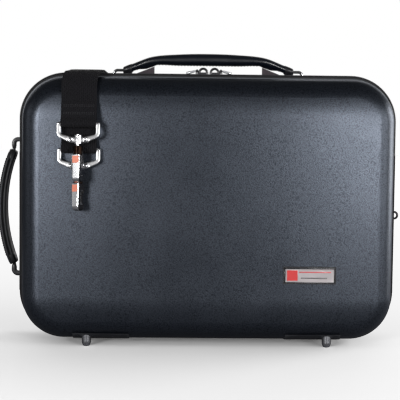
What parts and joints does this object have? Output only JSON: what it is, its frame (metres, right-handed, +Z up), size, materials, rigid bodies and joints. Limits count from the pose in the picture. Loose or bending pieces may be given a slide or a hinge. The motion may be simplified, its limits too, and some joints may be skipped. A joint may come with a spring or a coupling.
{
  "type": "clarinet case",
  "caption": "Hard rectangular zip-round case for two clarinets, with a top handle, a side handle, feet, and a shoulder strap with two snap hooks laid over it.",
  "frame": {"origin": "on the surface that the case stands on, under the middle of its overall box", "axes": "+X along the long side, to the right seen from the lid; +Y from the lid to the rear shell; +Z up"},
  "size_m": [0.4447, 0.1449, 0.316],
  "materials": {
    "moulded_shell": "fine-grained black ABS",
    "piping": "matt black edge moulding",
    "zip_tape": "woven black tape",
    "zip_teeth": "moulded black teeth",
    "slider_metal": "black-lacquered die casting",
    "pull_tab": "smoky grey plastic with a bright tip",
    "hinge_steel": "satin",
    "foot_metal": "bright nickel",
    "bright_steel": "polished",
    "dark_plate": "black lacquer",
    "grip_cover": "soft padded black cover",
    "side_grip_cover": "two padded layers with a stitched groove",
    "riser_plum": "plum-dark moulding",
    "badge_metal": "brushed, bare",
    "badge_surround": "dark frame",
    "webbing": "ribbed black webbing",
    "hook_chrome": "polished die casting",
    "hook_collar": "black",
    "hook_inlay": "orange-red",
    "plush": "short dark pile",
    "flap_cover": "short dark pile on a stiff board"
  },
  "bodies": {
    "case_base": {"rear_shell": "moulded_shell", "rear_bead": "piping", "rear_zip_tape": "zip_tape", "rear_zip_chain": "zip_teeth", "joint_block": "plush", "bell_block": "plush", "barrel_block": "plush", "mouthpiece_block": "plush", "hinge_strip": "zip_tape", "rear_hinge_leaves": "hinge_steel", "hinge_pins": "hinge_steel", "rear_feet": "foot_metal", "handle_posts": "bright_steel", "handle_plates": "dark_plate", "handle_risers": "riser_plum", "side_handle_posts": "dark_plate", "side_handle_plates": "dark_plate", "ring_clip": "dark_plate", "flap_hinge": "hinge_steel"},
    "lid": {"front_shell": "moulded_shell", "lid_bead": "piping", "lid_zip_tape": "zip_tape", "lid_zip_chain": "zip_teeth", "lid_lining": "plush", "lid_hinge_leaves": "hinge_steel", "lid_feet": "foot_metal", "badge_bezel": "badge_surround", "badge_plate": "badge_metal", "strap_inner_layer": "webbing", "strap_outer_layer": "webbing", "strap_rear_loop": "webbing"},
    "top_handle": {"top_handle": "grip_cover"},
    "side_handle": {"side_handle": "side_grip_cover"},
    "strap_ring": {"strap_ring": "dark_plate"},
    "box_flap": {"box_flap": "flap_cover"},
    "left_slider": {"left_slider": "slider_metal"},
    "left_pull": {"left_pull": "pull_tab"},
    "right_slider": {"right_slider": "slider_metal"},
    "right_pull": {"right_pull": "pull_tab"},
    "outer_frame": {"outer_frame": "hook_chrome"},
    "outer_hook": {"outer_hook": "hook_chrome", "outer_collar": "hook_collar", "outer_hook_inlay": "hook_inlay"},
    "outer_gate": {"outer_gate": "hook_chrome"},
    "inner_frame": {"inner_frame": "hook_chrome"},
    "inner_hook": {"inner_hook": "hook_chrome", "inner_collar": "hook_collar", "inner_hook_inlay": "hook_inlay"},
    "inner_gate": {"inner_gate": "hook_chrome"}
  },
  "joints": [
    {"name": "lid_hinge", "type": "hinge", "parent": "case_base", "child": "lid", "pos_m": [0.00785, -0.0004, 0.0066], "axis": [1, 0, 0], "range_deg": [0, 160], "deforming": ["hinge_strip", "lid_zip_chain", "rear_zip_chain", "strap_rear_loop"]},
    {"name": "top_handle_pivot", "type": "hinge", "parent": "case_base", "child": "top_handle", "pos_m": [0.00785, 0.0256, 0.297], "axis": [1, 0, 0], "range_deg": [-75, 60]},
    {"name": "side_handle_pivot", "type": "hinge", "parent": "case_base", "child": "side_handle", "pos_m": [-0.20615, 0.0256, 0.145], "axis": [0, 0, 1], "range_deg": [-90, 70]},
    {"name": "strap_ring_pivot", "type": "hinge", "parent": "case_base", "child": "strap_ring", "pos_m": [0.21045, 0.0256, 0.139], "axis": [0, 0, 1], "range_deg": [-75, 75]},
    {"name": "box_flap_hinge", "type": "hinge", "parent": "case_base", "child": "box_flap", "pos_m": [-0.01815, -0.0003, 0.0641], "axis": [-1, 0, 0], "range_deg": [0, 95]},
    {"name": "left_slider_travel", "type": "slide", "parent": "case_base", "child": "left_slider", "axis": [-1, 0, 0], "range_m": [0, 0.086], "deforming": ["lid_zip_chain", "rear_zip_chain"]},
    {"name": "right_slider_travel", "type": "slide", "parent": "case_base", "child": "right_slider", "axis": [1, 0, 0], "range_m": [0, 0.128], "deforming": ["lid_zip_chain", "rear_zip_chain"]},
    {"name": "left_pull_pivot", "type": "hinge", "parent": "left_slider", "child": "left_pull", "pos_m": [-0.00505, -0.0004, 0.29655], "axis": [0, 1, 0], "range_deg": [0, 100]},
    {"name": "right_pull_pivot", "type": "hinge", "parent": "right_slider", "child": "right_pull", "pos_m": [0.02075, -0.0004, 0.29655], "axis": [0, -1, 0], "range_deg": [0, 100]},
    {"name": "outer_frame_pivot", "type": "hinge", "parent": "lid", "child": "outer_frame", "pos_m": [-0.12935, -0.0572, 0.2385], "axis": [-1, 0, 0], "range_deg": [0, 80]},
    {"name": "outer_hook_swivel", "type": "hinge", "parent": "outer_frame", "child": "outer_hook", "pos_m": [-0.12935, -0.0572, 0.2385], "axis": [0, -0.1564, -0.9877], "continuous": true},
    {"name": "outer_gate_pivot", "type": "hinge", "parent": "outer_hook", "child": "outer_gate", "pos_m": [-0.12791, -0.05951, 0.19867], "axis": [-0.9397, 0.3378, -0.0535], "range_deg": [0, 18], "stiffness_Nm_per_rad": 0.02, "springref_deg": -11.46},
    {"name": "inner_frame_pivot", "type": "hinge", "parent": "lid", "child": "inner_frame", "pos_m": [-0.12935, -0.0494, 0.211], "axis": [-1, 0, 0], "range_deg": [0, 80]},
    {"name": "inner_hook_swivel", "type": "hinge", "parent": "inner_frame", "child": "inner_hook", "pos_m": [-0.12935, -0.0494, 0.211], "axis": [0, -0.1564, -0.9877], "continuous": true},
    {"name": "inner_gate_pivot", "type": "hinge", "parent": "inner_hook", "child": "inner_gate", "pos_m": [-0.127, -0.05264, 0.16828], "axis": [-0.829, 0.5523, -0.0875], "range_deg": [0, 18], "stiffness_Nm_per_rad": 0.02, "springref_deg": -11.46}
  ],
  "couplings": [
    {"joint": "inner_frame_pivot", "follows": "outer_frame_pivot", "ratio": 1}
  ]
}
